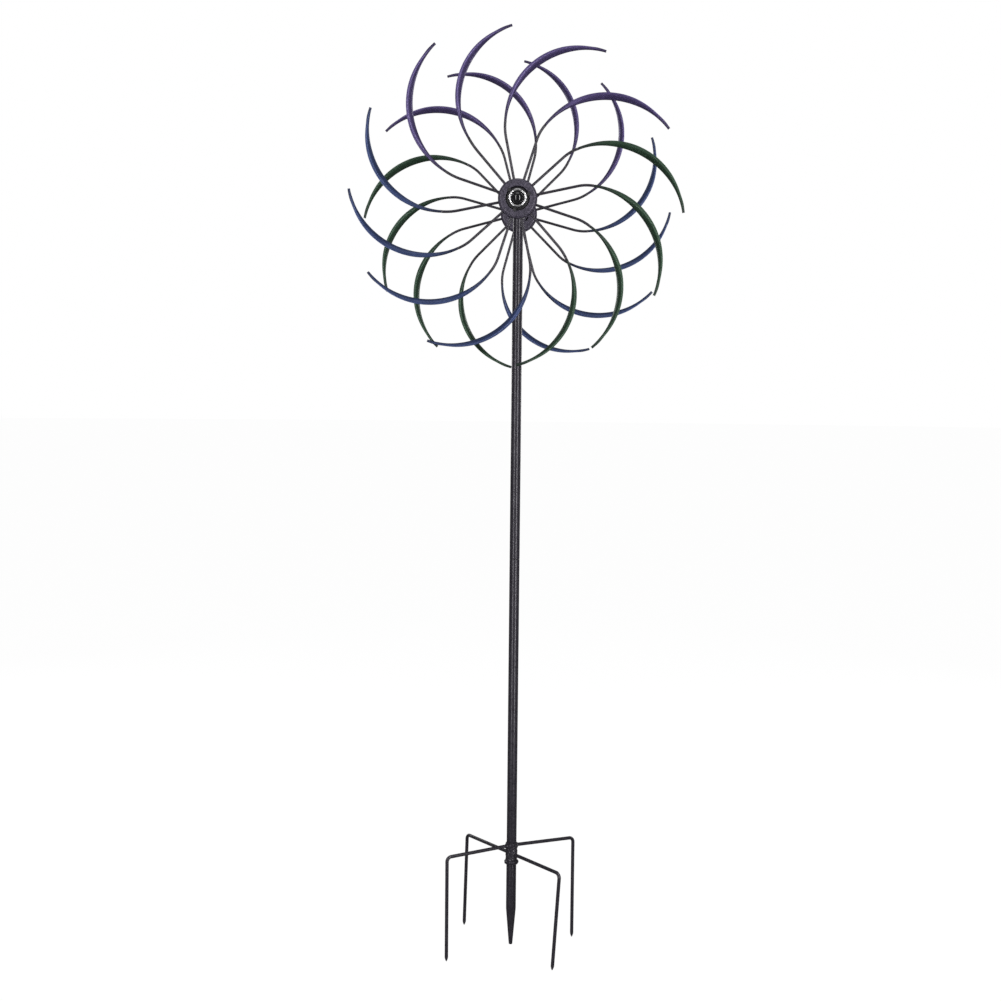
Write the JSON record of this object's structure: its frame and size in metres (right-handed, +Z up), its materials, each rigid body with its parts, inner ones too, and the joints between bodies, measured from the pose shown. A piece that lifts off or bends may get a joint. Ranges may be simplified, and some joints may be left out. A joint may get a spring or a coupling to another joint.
{
  "type": "wind spinner",
  "caption": "Garden wind spinner: paired wheels of curved coloured blades spin back to back on a sectional pole with a forked ground stake.",
  "frame": {"origin": "on the pole's axis at the soil line, just under the fork's arms, with the stake below it", "axes": "+Z up along the pole, +X to the right, -Y to the front, along the axle towards the front wheel"},
  "size_m": [0.6176, 0.2766, 1.7709],
  "materials": {
    "pole_coat": "satin dark grey powder coat, faintly textured",
    "hub_coat": "textured dark grey powder coat",
    "blade_purple": "metallic purple paint fading to dark grey at both ends",
    "blade_green": "metallic green paint fading to dark grey at both ends",
    "blade_blue": "metallic blue paint fading to dark grey at both ends",
    "bare_steel": "plain zinc-plated steel",
    "bush_nylon": "natural nylon",
    "cup_plastic": "moulded black plastic",
    "dome_plastic": "polished black plastic",
    "bezel_chrome": "bright chrome plating"
  },
  "bodies": {
    "stand": {"ground_stake": "pole_coat", "fork_collar": "pole_coat", "fork_rod_a": "pole_coat", "fork_rod_b": "pole_coat", "lower_pole": "pole_coat", "pole_coupler": "bare_steel", "upper_pole": "pole_coat", "axle_housing": "pole_coat", "axle": "bare_steel", "front_spacer_tube": "pole_coat", "front_bearing_inner_race": "bare_steel", "front_lock_nut": "bare_steel", "rear_spacer_tube": "pole_coat", "rear_bearing_inner_race": "bare_steel", "rear_lock_nut": "bare_steel"},
    "front_wheel": {"front_bearing_outer_race": "bare_steel", "front_cap_bezel": "bezel_chrome", "front_cap_cup": "cup_plastic", "front_cap_dome": "dome_plastic", "front_hub_barrel": "bare_steel", "front_hub_bush": "bush_nylon", "front_hub_inner_plate": "hub_coat", "front_hub_outer_plate": "hub_coat", "front_spoke_spider": "pole_coat", "front_blade_01": "blade_purple", "front_blade_02": "blade_purple", "front_blade_03": "blade_purple", "front_blade_04": "blade_green", "front_blade_05": "blade_green", "front_blade_06": "blade_green", "front_blade_07": "blade_green", "front_blade_08": "blade_blue", "front_blade_09": "blade_blue", "front_blade_10": "blade_blue", "front_blade_11": "blade_blue", "front_blade_12": "blade_purple"},
    "front_ball_cage": {"front_bearing_ball_cage": "bare_steel"},
    "rear_wheel": {"rear_bearing_outer_race": "bare_steel", "rear_cap_bezel": "bezel_chrome", "rear_cap_cup": "cup_plastic", "rear_cap_dome": "dome_plastic", "rear_hub_barrel": "bare_steel", "rear_hub_bush": "bush_nylon", "rear_hub_inner_plate": "hub_coat", "rear_hub_outer_plate": "hub_coat", "rear_spoke_spider": "pole_coat", "rear_blade_01": "blade_purple", "rear_blade_02": "blade_purple", "rear_blade_03": "blade_purple", "rear_blade_04": "blade_green", "rear_blade_05": "blade_green", "rear_blade_06": "blade_green", "rear_blade_07": "blade_green", "rear_blade_08": "blade_blue", "rear_blade_09": "blade_blue", "rear_blade_10": "blade_blue", "rear_blade_11": "blade_blue", "rear_blade_12": "blade_purple"},
    "rear_ball_cage": {"rear_bearing_ball_cage": "bare_steel"}
  },
  "joints": [
    {"name": "front_wheel_spin", "type": "hinge", "parent": "stand", "child": "front_wheel", "pos_m": [0, 0, 1.2675], "axis": [0, 1, 0], "continuous": true},
    {"name": "rear_wheel_spin", "type": "hinge", "parent": "stand", "child": "rear_wheel", "pos_m": [0, 0, 1.2675], "axis": [0, 1, 0], "continuous": true},
    {"name": "front_cage_spin", "type": "hinge", "parent": "stand", "child": "front_ball_cage", "pos_m": [0, 0, 1.2675], "axis": [0, 1, 0], "continuous": true},
    {"name": "rear_cage_spin", "type": "hinge", "parent": "stand", "child": "rear_ball_cage", "pos_m": [0, 0, 1.2675], "axis": [0, 1, 0], "continuous": true}
  ],
  "couplings": [
    {"joint": "front_cage_spin", "follows": "front_wheel_spin", "ratio": 0.599},
    {"joint": "rear_cage_spin", "follows": "rear_wheel_spin", "ratio": 0.599}
  ]
}
